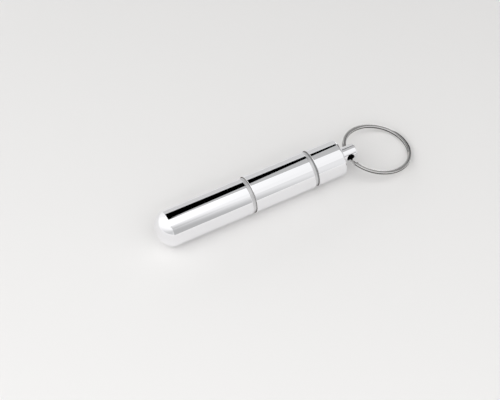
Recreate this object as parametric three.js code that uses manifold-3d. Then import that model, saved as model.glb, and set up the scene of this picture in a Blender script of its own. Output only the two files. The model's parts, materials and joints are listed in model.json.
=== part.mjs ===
// Toothpick holder keychain: a slim polished capsule lying on its side, dome to -X and key ring to +X
import * as THREE from 'three';
import { mergeVertices } from 'three/addons/utils/BufferGeometryUtils.js';
import Module from 'manifold-3d';

const wasm = await Module();
wasm.setup();

// Driving dimensions, in millimetres
const SHELL_DIAMETER = 13.8;
const TUBE_DIAMETER = 14.0;
const TUBE_LENGTH = 24.0;
const CAP_LENGTH = 11.6;
const DOME_DEPTH = 4.5;
const WALL = 0.7; // drawn wall of the shell and the tube
const RIM_ROUND = 0.2; // eased edges of the shell, tube and cap
const CAP_WALL = 0.625; // round the thread
const CAP_SHOULDER = 0.45; // step in from the thread to the hollow past it
const CAP_END_WALL = 2.0;
const CAP_END_ROUND = 0.8;

// Grey bands: the collar's flange, and the neck's flange with its gasket
const BAND_STEP = 0.25; // flanges stand this far above the wider of the two bores
const COLLAR_FLANGE = 1.3;
const NECK_FLANGE = 0.95;
const GASKET_THICKNESS = 0.5;
const GASKET_WIDTH = 0.3;
const SPIGOT_WALL = 0.6; // thinner of the collar's two spigots
const SPIGOT_LENGTH = 5.0;
const NECK_WALL = 0.55; // over the thread's crests
const NECK_LENGTH = 4.0; // threaded stretch that stands into the cap
const THREAD_LEAD_IN = 0.3;
const CAP_THREAD_RELIEF = 0.5; // cap bore past the neck's rim

// Fits
const GLUE_GAP = 0.05; // spigot in its tube, all round
const THREAD_GAP = 0.15; // neck in the cap, all round
const RIVET_GAP = 0.05; // shank in its holes, all round
const GASKET_GAP = 0.1; // gasket on the neck, all round

// Post, riveted through the end of the cap
const POST_DIAMETER = 5.4;
const POST_HEIGHT = 6.45;
const POST_CHAMFER = 0.3;
const POST_HOLE_DIAMETER = 3.0;
const POST_HOLE_HEIGHT = 3.55; // hole's centre above the end of the cap
const SHANK_DIAMETER = 3.0;
const RIVET_HEAD_DIAMETER = 4.4;
const RIVET_HEAD_HEIGHT = 0.5;
const WASHER_DIAMETER = 6.0;
const WASHER_THICKNESS = 0.5;

// Split ring: two turns of flat wire, side by side
const RING_MEAN_RADIUS = 12.25;
const RING_WIRE_WIDTH = 1.4; // across the ring
const RING_WIRE_THICKNESS = 0.38; // along the ring's axis
const RING_COIL_GAP = 0.45; // between the two turns
const RING_WIRE_ROUND = 0.12;
const RING_STEP_ANGLE = 38; // degrees of turn in which the wire steps from one turn to the next
const RING_END_GAP = 6; // degrees between the wire's lower end and the step
const RING_STEP_START = 168; // degrees from the far side of the ring
const RING_SEAT = 0.1; // how far the wire's middle sits past the hole's middle
const RING_DROP = 0.55; // how far the ring hangs below the hole's middle
const RING_YAW = -5; // degrees, to the front
const RING_STEPS_PER_TURN = 36;
const RING_GAP_SAMPLES = 240; // places in each turn where the gap is measured

// Toothpicks, stacked in the lower half of the bore
const PICK_LENGTH = 65;
const PICK_DIAMETER = 2.0;
const PICK_TIP_DIAMETER = 0.5;
const PICK_TAPER = 13;
const PICK_START = 3.0; // nearest tip, from the tip of the dome
const PICK_STAGGER = 0.25; // between the ends of neighbouring picks
const PICK_STAGGERS = 3; // places that the ends take in turn
const PICK_END_PLAY = 2.45; // from the farthest tip to the rivet in the cap
const PICK_BORE_GAP = 0.1; // lowest picks above the bore
const PICK_GAP = 0.18; // between picks
const PICK_COUNT = 11;

// Facets
const BARREL_SIDES = 48;
const POST_SIDES = 32;
const HOLE_SIDES = 28;
const PICK_SIDES = 10;
const DOME_STEPS = 10;
const ROUND_STEPS = 3;
const WELD = 1e-4;

// Radii and places along the barrel that follow from the sizes above
const shellBore = SHELL_DIAMETER / 2 - WALL;
const tubeBore = TUBE_DIAMETER / 2 - WALL;
const bandRadius = Math.max(shellBore, tubeBore) + BAND_STEP;
const boreRadius = Math.min(shellBore, tubeBore) - GLUE_GAP - SPIGOT_WALL;
const threadRadius = boreRadius + NECK_WALL;
const capMouth = threadRadius + THREAD_GAP;
const capRadius = capMouth + CAP_WALL;
const barrelRadius = Math.max(SHELL_DIAMETER / 2, TUBE_DIAMETER / 2, bandRadius, capRadius);
const pickEnd = PICK_START + PICK_STAGGER * (PICK_STAGGERS - 1) + PICK_LENGTH;
const capInside = pickEnd + PICK_END_PLAY + RIVET_HEAD_HEIGHT + WASHER_THICKNESS;
const capEnd = capInside + CAP_END_WALL;
const capRim = capEnd - CAP_LENGTH;
const neckShoulder = capRim - GASKET_THICKNESS;
const neckRim = neckShoulder + NECK_LENGTH;
const tubeEnd = neckShoulder - NECK_FLANGE;
const tubeStart = tubeEnd - TUBE_LENGTH;
const shellRim = tubeStart - COLLAR_FLANGE;
const postEnd = capEnd + POST_HEIGHT;
const holeX = capEnd + POST_HOLE_HEIGHT;
const axisHeight = barrelRadius * Math.cos(Math.PI / BARREL_SIDES);
const radians = THREE.MathUtils.degToRad;

const CHROME = { color: 0xe6e7e8, roughness: 0.06, metalness: 1 };
const SATIN_ALUMINIUM = { color: 0xb4b5b6, roughness: 0.42, metalness: 1 };
const STEEL = { color: 0xa9abad, roughness: 0.22, metalness: 1 };
const GREY_RUBBER = { color: 0xa6a7a9, roughness: 0.75, metalness: 0 };
const BIRCH = { color: 0xdcc08e, roughness: 0.7, metalness: 0 };

function mesh(name, geometry, look) {
  const solid = new THREE.Mesh(geometry, new THREE.MeshStandardMaterial(look));
  solid.name = name;
  return solid;
}

// Shares a geometry's vertices and drops its collapsed faces
function welded(geometry) {
  geometry.deleteAttribute('normal');
  geometry.deleteAttribute('uv');
  const shared = mergeVertices(geometry, WELD);
  const corners = shared.index.array;
  const kept = [];
  for (let i = 0; i < corners.length; i += 3) {
    const [a, b, c] = corners.slice(i, i + 3);
    if (a !== b && b !== c && c !== a) kept.push(a, b, c);
  }
  shared.setIndex(kept);
  return shared;
}

// Revolves a profile of [x, radius] points about the barrel's axis, with a flat side down
function turned(profile, sides) {
  const points = profile.map(([x, radius]) => new THREE.Vector2(radius, x));
  const geometry = new THREE.LatheGeometry(points, sides, Math.PI / sides);
  geometry.rotateZ(-Math.PI / 2);
  return welded(geometry);
}

// A ring's profile: its outside, from low x to high x, then back along its inside
function ringProfile(outside, inside) {
  return [...outside, ...inside, outside[0]];
}

// Points of an arc in the profile plane, angles in degrees from +x towards the outside
function arc(x, radius, size, from, to, steps) {
  const points = [];
  for (let i = 0; i <= steps; i += 1) {
    const angle = radians(from + ((to - from) * i) / steps);
    points.push([x + size * Math.cos(angle), radius + size * Math.sin(angle)]);
  }
  return points;
}

const easedStart = (x, radius, size) => arc(x + size, radius - size, size, 180, 90, ROUND_STEPS);
const easedEnd = (x, radius, size) => arc(x - size, radius - size, size, 90, 0, ROUND_STEPS);

function solid(geometry) {
  return new wasm.Manifold(new wasm.Mesh({
    numProp: 3,
    vertProperties: new Float32Array(geometry.attributes.position.array),
    triVerts: new Uint32Array(geometry.index.array),
  }));
}

function fromSolid(manifold) {
  const { vertProperties, triVerts } = manifold.getMesh();
  const geometry = new THREE.BufferGeometry();
  geometry.setAttribute('position', new THREE.BufferAttribute(vertProperties, 3));
  geometry.setIndex(new THREE.BufferAttribute(triVerts, 1));
  return geometry;
}

function domeShell() {
  const radius = SHELL_DIAMETER / 2;
  const dome = (radius ** 2 + DOME_DEPTH ** 2) / (2 * DOME_DEPTH);
  const outerEdge = THREE.MathUtils.radToDeg(Math.asin(radius / dome));
  const innerEdge = THREE.MathUtils.radToDeg(Math.asin(shellBore / (dome - WALL)));
  const profile = [
    ...arc(dome, 0, dome, 180, 180 - outerEdge, DOME_STEPS),
    ...easedEnd(shellRim, radius, RIM_ROUND),
    [shellRim, shellBore],
    ...arc(dome, 0, dome - WALL, 180 - innerEdge, 180, DOME_STEPS),
  ];
  return mesh('dome_shell', turned(profile, BARREL_SIDES), CHROME);
}

function joiningCollar() {
  const shellSpigot = shellBore - GLUE_GAP;
  const tubeSpigot = tubeBore - GLUE_GAP;
  const left = shellRim - SPIGOT_LENGTH;
  const right = tubeStart + SPIGOT_LENGTH;
  const outside = [
    [left, shellSpigot],
    [shellRim, shellSpigot],
    [shellRim, bandRadius],
    [tubeStart, bandRadius],
    [tubeStart, tubeSpigot],
    [right, tubeSpigot],
  ];
  const inside = [[right, boreRadius], [left, boreRadius]];
  return mesh('joining_collar', turned(ringProfile(outside, inside), BARREL_SIDES), SATIN_ALUMINIUM);
}

function middleTube() {
  const radius = TUBE_DIAMETER / 2;
  const outside = [
    ...easedStart(tubeStart, radius, RIM_ROUND),
    ...easedEnd(tubeEnd, radius, RIM_ROUND),
  ];
  const inside = [[tubeEnd, tubeBore], [tubeStart, tubeBore]];
  return mesh('middle_tube', turned(ringProfile(outside, inside), BARREL_SIDES), CHROME);
}

function screwNeck() {
  const spigot = tubeBore - GLUE_GAP;
  const left = tubeEnd - SPIGOT_LENGTH;
  const outside = [
    [left, spigot],
    [tubeEnd, spigot],
    [tubeEnd, bandRadius],
    [neckShoulder, bandRadius],
    [neckShoulder, threadRadius],
    [neckRim - THREAD_LEAD_IN, threadRadius],
    [neckRim, threadRadius - THREAD_LEAD_IN],
  ];
  const inside = [[neckRim, boreRadius], [left, boreRadius]];
  return mesh('screw_neck', turned(ringProfile(outside, inside), BARREL_SIDES), SATIN_ALUMINIUM);
}

function neckGasket() {
  const inner = threadRadius + GASKET_GAP;
  const outside = [[neckShoulder, inner + GASKET_WIDTH], [capRim, inner + GASKET_WIDTH]];
  const inside = [[capRim, inner], [neckShoulder, inner]];
  return mesh('neck_gasket', turned(ringProfile(outside, inside), BARREL_SIDES), GREY_RUBBER);
}

function capShell() {
  const mouthEnd = neckRim + CAP_THREAD_RELIEF;
  const hollow = capMouth - CAP_SHOULDER;
  const shankHole = SHANK_DIAMETER / 2 + RIVET_GAP;
  const outside = [
    ...easedStart(capRim, capRadius, RIM_ROUND),
    ...easedEnd(capEnd, capRadius, CAP_END_ROUND),
  ];
  const inside = [
    [capEnd, shankHole],
    [capInside, shankHole],
    [capInside, hollow],
    [mouthEnd, hollow],
    [mouthEnd, capMouth],
    [capRim, capMouth],
  ];
  return mesh('cap_shell', turned(ringProfile(outside, inside), BARREL_SIDES), CHROME);
}

function ringPost() {
  const head = POST_DIAMETER / 2;
  const shank = SHANK_DIAMETER / 2;
  const rivet = RIVET_HEAD_DIAMETER / 2;
  const rivetTop = capInside - WASHER_THICKNESS;
  const rivetFoot = rivetTop - RIVET_HEAD_HEIGHT;
  const profile = [
    [rivetFoot, 0],
    [rivetFoot, shank],
    [rivetFoot + RIVET_HEAD_HEIGHT / 2, rivet],
    [rivetTop, rivet],
    [rivetTop, shank],
    [capEnd, shank],
    [capEnd, head],
    [postEnd - POST_CHAMFER, head],
    [postEnd, head - POST_CHAMFER],
    [postEnd, 0],
  ];
  const drill = new THREE.CylinderGeometry(
    POST_HOLE_DIAMETER / 2, POST_HOLE_DIAMETER / 2, 2 * POST_DIAMETER, HOLE_SIDES,
  );
  drill.translate(holeX, 0, 0);
  const drilled = solid(turned(profile, POST_SIDES)).subtract(solid(welded(drill)));
  return mesh('ring_post', fromSolid(drilled), CHROME);
}

function postWasher() {
  const hole = SHANK_DIAMETER / 2 + RIVET_GAP;
  const left = capInside - WASHER_THICKNESS;
  const outside = [[left, WASHER_DIAMETER / 2], [capInside, WASHER_DIAMETER / 2]];
  const inside = [[capInside, hole], [left, hole]];
  return mesh('post_washer', turned(ringProfile(outside, inside), POST_SIDES), STEEL);
}

// Middle line of the split ring's wire: one turn, a step down beside the first turn, a second turn
class SplitRingPath extends THREE.Curve {
  getPoint(t, target = new THREE.Vector3()) {
    const sweep = 720 - RING_STEP_ANGLE - RING_END_GAP;
    const turn = t * sweep;
    const stepped = (turn - (360 - RING_STEP_ANGLE)) / RING_STEP_ANGLE;
    const rise = 0.5 - THREE.MathUtils.smoothstep(stepped, 0, 1);
    const angle = radians(RING_STEP_START + RING_STEP_ANGLE + turn);
    return target.set(
      RING_MEAN_RADIUS * Math.cos(angle),
      RING_MEAN_RADIUS * Math.sin(angle),
      rise * (RING_WIRE_THICKNESS + RING_COIL_GAP),
    );
  }
}

// Section of the flat wire, first its thickness and then its width, with eased corners
function wireSection() {
  const x = RING_WIRE_THICKNESS / 2;
  const y = RING_WIRE_WIDTH / 2;
  const r = RING_WIRE_ROUND;
  return new THREE.Shape([
    new THREE.Vector2(x, -y + r),
    new THREE.Vector2(x, y - r),
    new THREE.Vector2(x - r, y),
    new THREE.Vector2(r - x, y),
    new THREE.Vector2(-x, y - r),
    new THREE.Vector2(-x, -y + r),
    new THREE.Vector2(r - x, -y),
    new THREE.Vector2(x - r, -y),
  ]);
}

// Least distance between the wire's surface points that lie half a turn or more apart along it
function leastGap(path, section) {
  const steps = 2 * RING_GAP_SAMPLES;
  const frames = path.computeFrenetFrames(steps, false);
  const rings = path.getSpacedPoints(steps).map((centre, i) => section.getPoints().map(({ x, y }) => (
    centre.clone().addScaledVector(frames.normals[i], x).addScaledVector(frames.binormals[i], y)
  )));
  let least = Infinity;
  rings.forEach((near, i) => rings.slice(i + RING_GAP_SAMPLES / 2).forEach((far) => {
    near.forEach((a) => far.forEach((b) => {
      least = Math.min(least, a.distanceTo(b));
    }));
  }));
  return least;
}

function splitRing() {
  const path = new SplitRingPath();
  const section = wireSection();
  const wire = new THREE.ExtrudeGeometry(section, {
    steps: 2 * RING_STEPS_PER_TURN,
    bevelEnabled: false,
    extrudePath: path,
  });
  console.log(`split_ring: least gap between its turns ${leastGap(path, section).toFixed(2)} mm`);
  const geometry = welded(wire);
  geometry.translate(RING_MEAN_RADIUS - RING_SEAT, 0, 0);
  return mesh('split_ring', geometry, STEEL);
}

// The ring hangs from the hole and droops until its far edge lies on the table
function ringDroop() {
  const reach = 2 * RING_MEAN_RADIUS - RING_SEAT + RING_WIRE_WIDTH / 2;
  const half = RING_WIRE_THICKNESS + RING_COIL_GAP / 2;
  return Math.asin((axisHeight - RING_DROP) / Math.hypot(reach, half)) - Math.atan2(half, reach);
}

function toothpick(number, y, z) {
  const radius = PICK_DIAMETER / 2;
  const tip = PICK_TIP_DIAMETER / 2;
  const near = [
    [0, 0],
    [0, tip / 2],
    [tip, tip],
    [PICK_TAPER / 3, (tip + radius) / 2],
    [PICK_TAPER, radius],
  ];
  const far = near.map(([x, r]) => [PICK_LENGTH - x, r]).reverse();
  const geometry = turned([...near, ...far], PICK_SIDES);
  const pick = mesh(`toothpick_${String(number).padStart(2, '0')}`, geometry, BIRCH);
  pick.position.set(PICK_START + PICK_STAGGER * (number % PICK_STAGGERS), y, z);
  return pick;
}

// The two points that lie at the given distances from two others, or none
function meetings([ay, az], fromA, [by, bz], fromB) {
  const between = Math.hypot(by - ay, bz - az);
  if (between > fromA + fromB || between <= Math.abs(fromA - fromB)) return [];
  const along = (between ** 2 + fromA ** 2 - fromB ** 2) / (2 * between);
  const off = Math.sqrt(Math.max(0, fromA ** 2 - along ** 2));
  const [uy, uz] = [(by - ay) / between, (bz - az) / between];
  const [my, mz] = [ay + along * uy, az + along * uz];
  return [[my - off * uz, mz + off * uy], [my + off * uz, mz - off * uy]];
}

// Where the picks come to lie: each in turn takes the lowest free place on the bore or on the others
function pickPlaces() {
  const spacing = PICK_DIAMETER + PICK_GAP;
  const reach = boreRadius - PICK_BORE_GAP - PICK_DIAMETER / 2;
  const places = [[0, -reach]];
  while (places.length < PICK_COUNT) {
    const seats = [];
    places.forEach((a, i) => {
      seats.push(...meetings(a, spacing, [0, 0], reach));
      places.slice(0, i).forEach((b) => seats.push(...meetings(a, spacing, b, spacing)));
    });
    const free = seats.filter(([y, z]) => Math.hypot(y, z) < reach + WELD
      && places.every((p) => Math.hypot(p[0] - y, p[1] - z) > spacing - WELD));
    free.sort((p, q) => p[1] - q[1] || p[0] - q[0]);
    places.push(free[0]);
  }
  return places;
}

const ring = new THREE.Group();
ring.add(splitRing());
ring.position.set(holeX, 0, -RING_DROP);
ring.rotation.set(0, ringDroop(), radians(RING_YAW), 'ZYX');

const holder = new THREE.Group();
holder.add(domeShell(), joiningCollar(), middleTube(), screwNeck(), neckGasket());
holder.add(capShell(), ringPost(), postWasher(), ring);
pickPlaces().forEach(([y, z], i) => holder.add(toothpick(i + 1, y, z)));

// The origin is on the table, under the middle of the whole keychain
const box = new THREE.Box3().setFromObject(holder, true);
const middle = box.getCenter(new THREE.Vector3());
holder.position.set(-middle.x, -middle.y, axisHeight);

const keychain = new THREE.Group();
keychain.add(holder);
keychain.updateMatrixWorld(true);

export default keychain;
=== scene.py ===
import json
import math

import bmesh
import bpy
from bpy.props import FloatProperty, FloatVectorProperty, IntProperty, PointerProperty
from bpy.types import Operator, Panel, PropertyGroup
from mathutils import Matrix, Vector


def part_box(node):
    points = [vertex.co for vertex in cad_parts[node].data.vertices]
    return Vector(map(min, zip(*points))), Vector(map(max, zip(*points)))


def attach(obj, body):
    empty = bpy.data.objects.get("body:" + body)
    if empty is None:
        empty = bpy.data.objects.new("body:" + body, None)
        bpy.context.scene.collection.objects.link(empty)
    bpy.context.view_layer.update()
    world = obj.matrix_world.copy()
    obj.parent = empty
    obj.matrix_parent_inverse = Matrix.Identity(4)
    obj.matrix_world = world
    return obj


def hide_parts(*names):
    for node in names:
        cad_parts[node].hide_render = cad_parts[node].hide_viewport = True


bl_info = {
    "name": "Toothpick Holder Keychain",
    "version": (1, 0, 0),
    "blender": (4, 5, 0),
    "location": "3D View > Sidebar > Holder",
    "description": "Builds a polished toothpick holder with a screw cap, a drilled post and a split key ring",
    "category": "Add Mesh",
}

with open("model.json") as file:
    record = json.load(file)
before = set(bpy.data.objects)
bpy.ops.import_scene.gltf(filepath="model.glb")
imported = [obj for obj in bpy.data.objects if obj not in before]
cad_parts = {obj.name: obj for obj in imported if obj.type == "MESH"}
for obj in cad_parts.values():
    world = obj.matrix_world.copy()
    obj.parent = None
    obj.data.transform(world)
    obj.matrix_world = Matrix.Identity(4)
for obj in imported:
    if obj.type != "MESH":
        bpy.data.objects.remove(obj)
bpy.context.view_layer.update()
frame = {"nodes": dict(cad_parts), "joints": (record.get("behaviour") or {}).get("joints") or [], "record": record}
JOINTS = {joint["name"]: joint for joint in frame["joints"]}
BODY_OF = {node: body for body, nodes in frame["record"]["behaviour"]["bodies"].items() for node in nodes}
SLOT_OF = {part["node"]: part["material_slot"] for part in frame["record"]["subparts"]}

# Sizes are in metres, so a millimetre is
MM = 0.001

# The frame's turned solids have flats: a true radius is half the width across them, over this share
BARREL_FLATS = math.cos(math.pi / 48)
POST_FLATS = math.cos(math.pi / 32)
PICK_NAMES = sorted(name for name in frame["nodes"] if name.startswith("toothpick_"))


def span(node):
    """Where a turned piece begins and ends along the barrel."""
    low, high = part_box(node)
    return low.x, high.x


def true_radius(node, flats=BARREL_FLATS):
    """The round radius of a turned piece of the frame."""
    low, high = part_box(node)
    return (high.z - low.z) / 2 / flats


# Places along the barrel, from the frame
DOME_TIP, SHELL_RIM = span("dome_shell")
COLLAR_LEFT, COLLAR_RIGHT = span("joining_collar")
TUBE_LEFT, TUBE_RIGHT = span("middle_tube")
NECK_LEFT, NECK_RIM = span("screw_neck")
NECK_SHOULDER, CAP_RIM = span("neck_gasket")
CAP_END = span("cap_shell")[1]
WASHER_LEFT, WASHER_RIGHT = span("post_washer")
POST_LEFT, POST_END = span("ring_post")
AXIS = (sum(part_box("middle_tube"), Vector()) / 2).yz
HOLE = Vector(JOINTS["ring_swing"]["pos_m"])

# How finely the round forms are drawn
BARREL_SIDES = 192
POST_SIDES = 128
ARC_STEPS = 6
DOME_STEPS = 40
THREAD_ROWS = 72
RING_STEPS = 480
WIRE_SIDES = 56
PICK_STEPS = 140
PICK_SIDES = 28
SHARP = math.radians(28)

# Edges of the turned pieces, and the drill for the post
EASE = 0.05 * MM         # broken edges
CHAMFER = 2 * EASE       # edges that lead a piece into its place
SOFT_EDGE = 4 * EASE     # edges that the eye sees as round
RUN_OUT = 6 * EASE       # plain end of the neck, past its thread
HOLD = 0.35              # share of a rounding at which a hold line keeps the flat beside it flat
GASKET_ROUND = 1 / 4     # rounding of the gasket's edges, as a share of its width
RIVET_ROUND = 0.8        # rounding of the rivet head, as a share of its height
DRILL_LENGTH = 4         # length of the drill, in radii of the post

# The screw thread, as shares of its pitch and its lead
THREAD_TOP = 0.14        # half of a ridge's flat crest, of the pitch
THREAD_FLANK = 0.2       # sloping side of a ridge, of the pitch
THREAD_FADE = 1 / 8      # way in which the ridges rise and die away, of the lead
CAP_PHASE = 0.5          # the cap's ridges lie between the neck's, half a pitch on

# Limits that tell points and faces apart
ON_AXIS = 1e-7           # a smaller radius is a point on the axis
SAME_SPOT = 1e-8         # points that are closer are one point
SLIVER = 0.001 * MM      # width of the slivers that a cut leaves
CUT_FACING = 0.8         # a face that points this much along the barrel is a cut rim
GAP_FACING = 0.6         # a face that points this much to the ring's other turn lies between the two

# How far a pattern is drawn out, along X, Y and Z
POLISH_STRETCH = (1, 0.04, 0.04)
TOOL_STRETCH = (1, 0.06, 0.06)
FIBRE_STRETCH = (0.05, 1, 1)

# Roughness of the cleanest and the most handled chrome, as shares of its haze
LEAST_HAZE = 0.7
MOST_HAZE = 1.6

# The form of the toothpicks
BELLY = 0.63             # power that gives a point its slight belly
WAVE = 0.9 * MM          # width of the wood's unevenness
FULL_SIZE = 0.75         # level of the unevenness at which the wood has its turned size
SEED_STEP = 7.3          # from the pattern of one toothpick to the next

# Colour sockets of a Mix node
MIX_A = 6
MIX_B = 7
MIX_RESULT = 2


def linear(code):
    """An sRGB hex colour as linear red, green and blue."""
    parts = [int(code[i:i + 2], 16) / 255 for i in (1, 3, 5)]
    return [p / 12.92 if p <= 0.04045 else ((p + 0.055) / 1.055) ** 2.4 for p in parts]


def length(name, description, size):
    """A property that holds a length, given in millimetres."""
    return FloatProperty(name=name, description=description, default=size * MM, min=0, unit="LENGTH",
                         precision=5)


def degrees(name, description, size):
    """A property that holds an angle, given in degrees."""
    return FloatProperty(name=name, description=description, default=math.radians(size), subtype="ANGLE")


def colour(name, description, code):
    """A property that holds a colour, given as an sRGB hex code."""
    return FloatVectorProperty(name=name, description=description, default=linear(code), subtype="COLOR",
                               min=0, max=1)


def share(name, description, value):
    """A property that holds a factor from 0 to 1."""
    return FloatProperty(name=name, description=description, default=value, min=0, max=1, subtype="FACTOR")


class HolderSizes(PropertyGroup):
    """Sizes of the barrel, its bands, its cap and its post."""
    wall: length("Wall", "Drawn wall of the shell and the tube", 0.7)
    dome_depth: length("Dome depth", "From the dome's tip to its crease", 4.5)
    rim_round: length("Rim rounding", "Eased outer edges of the shell, the tube and the cap", 0.2)
    bore: length("Bore radius", "Clear way through the collar and the neck", 5.55)
    glue_gap: length("Glue gap", "Between a spigot and its tube, all round", 0.05)
    thread_radius: length("Thread radius", "Over the crests of the neck's thread", 6.1)
    thread_gap: length("Thread gap", "Between the neck's crests and the cap's wall", 0.15)
    thread_depth: length("Thread depth", "Height of a ridge", 0.28)
    thread_lead: length("Thread lead", "Travel of the cap in one turn", 2.5)
    thread_starts: IntProperty(name="Thread starts", description="Ridges that run side by side", default=2,
                               min=1)
    thread_relief: length("Thread relief", "Cap bore past the neck's rim", 0.5)
    cap_shoulder: length("Cap shoulder", "Step in from the thread to the hollow", 0.45)
    cap_end_wall: length("Cap end wall", "Thickness of the cap's end", 2.0)
    cap_end_round: length("Cap end rounding", "Outer edge of the cap's end", 0.8)
    gasket_gap: length("Gasket gap", "Between the gasket and the neck", 0.1)
    shank: length("Rivet shank radius", "Tail of the post through the cap's end", 1.5)
    rivet_height: length("Rivet head height", "Peened head inside the cap", 0.5)
    rivet_head: length("Rivet head radius", "Peened head inside the cap", 2.2)
    rivet_gap: length("Rivet gap", "Between the shank and its holes", 0.05)
    post_hole: length("Post hole radius", "Cross hole for the key ring", 1.5)
    post_chamfer: length("Post chamfer", "Edge of the post's end", 0.3)


class RingSizes(PropertyGroup):
    """Sizes of the split key ring."""
    mean_radius: length("Mean radius", "From the ring's middle to the wire's middle", 12.25)
    wire_width: length("Wire width", "Across the ring", 1.4)
    wire_height: length("Wire height", "Along the ring's axis, for one turn", 0.58)
    oval: share("Oval", "Form of the wire's edges: 1 is an ellipse and less is squarer", 0.42)
    edge: share("Edge", "Height of the wire at its edges, as a share of its height", 0.56)
    turn_gap: length("Turn gap", "Between the two turns", 0.05)
    seat: length("Seat", "How far the wire's middle sits past the hole's middle", 0.1)
    drop: length("Drop", "How far the ring hangs below the hole's middle", 0.55)
    step_start: degrees("Step start", "Where the wire begins to step, from the far side", 168)
    step: degrees("Step", "Turn in which the wire steps from one coil to the next", 38)
    end_gap: degrees("End gap", "Between the wire's end and the step", 6)
    yaw: degrees("Yaw", "How far the ring swings to the front", -5)


class PickSizes(PropertyGroup):
    """Sizes of a toothpick."""
    tip: length("Tip radius", "Blunt end of a point", 0.22)
    taper: length("Taper", "Length of a point", 13)
    fibre: length("Fibre", "Unevenness of the turned wood", 0.025)


class Finishes(PropertyGroup):
    """Colours and finishes of the materials."""
    chrome: colour("Chrome", "Mirror-polished plate", "#f5f5f7")
    chrome_haze: share("Chrome haze", "Roughness of the polished plate", 0.035)
    satin: colour("Satin aluminium", "Turned collar and neck", "#e6e6e7")
    steel: colour("Ring steel", "Plated spring steel", "#e1e0df")
    rubber: colour("Seal rubber", "Gasket", "#949597")
    # Painted shade: a dark colour on the cut rims, as the shade in the gaps at the joints
    cut: colour("Rim shade", "Unplated rims of the shell, the tube and the cap", "#6d675e")
    # Painted shade: a dark colour on the wall of the post's hole and on the faces between the ring's turns, where
    # shade falls
    painted_shade: colour("Painted shade", "Unplated wall of the post's hole and faces in the ring's gap", "#2a2a2b")
    birch: colour("Birch", "Toothpick wood", "#ecdcba")
    grain: colour("Birch grain", "Darker fibres in the wood", "#cdb184")


class StudioSettings(PropertyGroup):
    """Floor, light and lens."""
    floor: colour("Floor", "Pale matt floor", "#e8e7e6")
    light: FloatProperty(name="Light", description="Light of the tent, 1 as photographed", default=1, min=0)
    lens: FloatProperty(name="Lens", description="Focal length on a 36 mm wide sensor", default=159.28,
                        min=1, unit="CAMERA")


def add(tree, kind, settings=None, inputs=None):
    """Adds a node with its settings, and sets or links its inputs, a node by its first output."""
    made = tree.nodes.new(kind)
    for key, value in (settings or {}).items():
        setattr(made, key, value)
    for key, value in (inputs or {}).items():
        if isinstance(value, bpy.types.Node):
            tree.links.new(value.outputs[0], made.inputs[key])
        elif isinstance(value, bpy.types.NodeSocket):
            tree.links.new(value, made.inputs[key])
        else:
            made.inputs[key].default_value = value
    return made


def new_material(name):
    """A material, its empty tree, and the coordinates of the piece's own object in it."""
    material = bpy.data.materials.new(name)
    material.use_nodes = True
    tree = material.node_tree
    tree.nodes.clear()
    return material, tree, add(tree, "ShaderNodeTexCoord").outputs["Object"]


def opaque(colour_value, shade=1.0):
    """A colour property, darkened to a share, with full alpha, as a shader socket takes it."""
    return (*(part * shade for part in colour_value), 1.0)


def close_material(tree, height, strength, depth, looks):
    """Ends a material's tree: a shader with the given looks, and a bump from the height of a pattern."""
    bump = add(tree, "ShaderNodeBump", inputs={"Height": height, "Strength": strength, "Distance": depth})
    shader = add(tree, "ShaderNodeBsdfPrincipled", inputs={**looks, "Normal": bump})
    add(tree, "ShaderNodeOutputMaterial", inputs={"Surface": shader})


def polished_chrome(finish):
    """Chrome plate over brass, mirror-polished: crisp reflections, with a faint haze of polishing lines."""
    material, tree, place = new_material("chrome_plate_mirror_polish")
    # Polishing lines run round the barrel, 0.1 mm apart
    lines = add(tree, "ShaderNodeMapping", inputs={"Vector": place, "Scale": POLISH_STRETCH})
    polish = add(tree, "ShaderNodeTexNoise", inputs={
        "Vector": lines, "Scale": 1 / (0.1 * MM), "Detail": 3.0, "Roughness": 0.6})
    # Patches of handling haze, 6 mm across
    haze = add(tree, "ShaderNodeTexNoise", inputs={"Vector": place, "Scale": 1 / (6 * MM), "Detail": 2.0})
    rough = add(tree, "ShaderNodeMapRange", inputs={
        "Value": haze, "From Min": 0.3, "From Max": 0.75,
        "To Min": finish.chrome_haze * LEAST_HAZE, "To Max": finish.chrome_haze * MOST_HAZE})
    close_material(tree, polish, 0.02, 0.01 * MM, {
        "Base Color": opaque(finish.chrome), "Metallic": 1.0, "Roughness": rough})
    return material


def satin_aluminium(finish):
    """Aluminium turned on a lathe and left satin: fine tool lines round the axis that spread the light."""
    material, tree, place = new_material("aluminium_satin_turned")
    # Tool lines run round the barrel, 0.12 mm apart
    lines = add(tree, "ShaderNodeMapping", inputs={"Vector": place, "Scale": TOOL_STRETCH})
    tool = add(tree, "ShaderNodeTexNoise", inputs={
        "Vector": lines, "Scale": 1 / (0.12 * MM), "Detail": 4.0, "Roughness": 0.7})
    rough = add(tree, "ShaderNodeMapRange", inputs={
        "Value": tool, "From Min": 0.3, "From Max": 0.7, "To Min": 0.46, "To Max": 0.62})
    tone = add(tree, "ShaderNodeMix", {"data_type": "RGBA"}, {
        "Factor": tool, MIX_A: opaque(finish.satin, 0.9), MIX_B: opaque(finish.satin)})
    close_material(tree, tool, 0.35, 0.02 * MM, {
        "Base Color": tone.outputs[MIX_RESULT], "Metallic": 1.0, "Roughness": rough})
    return material


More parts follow.
